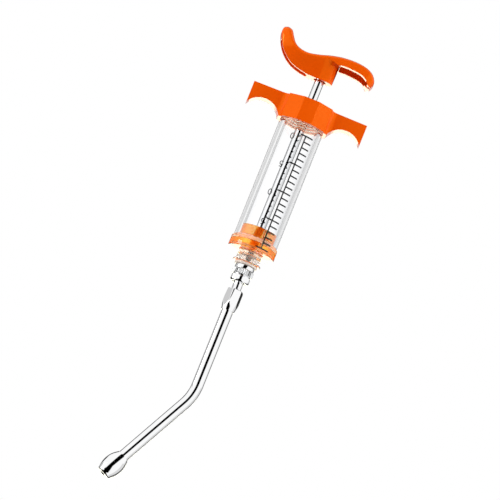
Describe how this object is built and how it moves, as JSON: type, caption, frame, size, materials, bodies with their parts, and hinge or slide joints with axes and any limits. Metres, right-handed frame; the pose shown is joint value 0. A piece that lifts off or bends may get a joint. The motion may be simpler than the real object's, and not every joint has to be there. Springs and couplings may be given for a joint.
{
  "type": "livestock drencher",
  "caption": "Plunger syringe for drenching livestock: clear measuring barrel, winged finger-grip cap, S-shaped palm handle and a bent metal nozzle with a bulb tip that turns in a lock collar.",
  "frame": {"origin": "on the syringe's axis, level with the crowns of the two finger arcs, where two fingers hold it", "axes": "+Z along the axis from nozzle to handle, +X along the finger wings towards the handle's nose, -Y towards the viewer of the picture"},
  "size_m": [0.0657, 0.028, 0.2667],
  "materials": {
    "orange_plastic": "glossy moulded orange plastic",
    "chrome": "bright chrome plating",
    "clear_plastic": "clear polished plastic",
    "silicone": "soft pink silicone",
    "amber_washer": "pale amber washer",
    "brass": "turned brass",
    "steel": "plain steel"
  },
  "bodies": {
    "barrel_unit": {"barrel": "clear_plastic", "finger_grip_cap": "orange_plastic", "cap_washer": "silicone", "neck_washer": "amber_washer", "nozzle_connector": "chrome", "collar_clip": "steel", "luer_seal": "silicone"},
    "piston": {"piston_head": "orange_plastic", "piston_seal": "silicone", "piston_plate": "orange_plastic"},
    "plunger": {"push_handle": "orange_plastic", "handle_insert": "brass", "plunger_rod": "chrome", "piston_washer": "steel", "piston_nut": "steel"},
    "collar": {"lock_collar": "chrome"},
    "nozzle": {"nozzle_hub": "chrome", "nozzle_tube": "chrome", "nozzle_bulb": "chrome"}
  },
  "joints": [
    {"name": "plunger_slide", "type": "slide", "parent": "barrel_unit", "child": "piston", "axis": [0, 0, 1], "range_m": [0, 0.0705]},
    {"name": "handle_turn", "type": "hinge", "parent": "piston", "child": "plunger", "pos_m": [0, 0, -0.068], "axis": [0, 0, 1], "continuous": true},
    {"name": "collar_turn", "type": "hinge", "parent": "barrel_unit", "child": "collar", "pos_m": [0, 0, -0.0925], "axis": [0, 0, 1], "continuous": true},
    {"name": "nozzle_turn", "type": "hinge", "parent": "barrel_unit", "child": "nozzle", "pos_m": [0, 0, -0.0975], "axis": [0, 0, 1], "continuous": true}
  ]
}
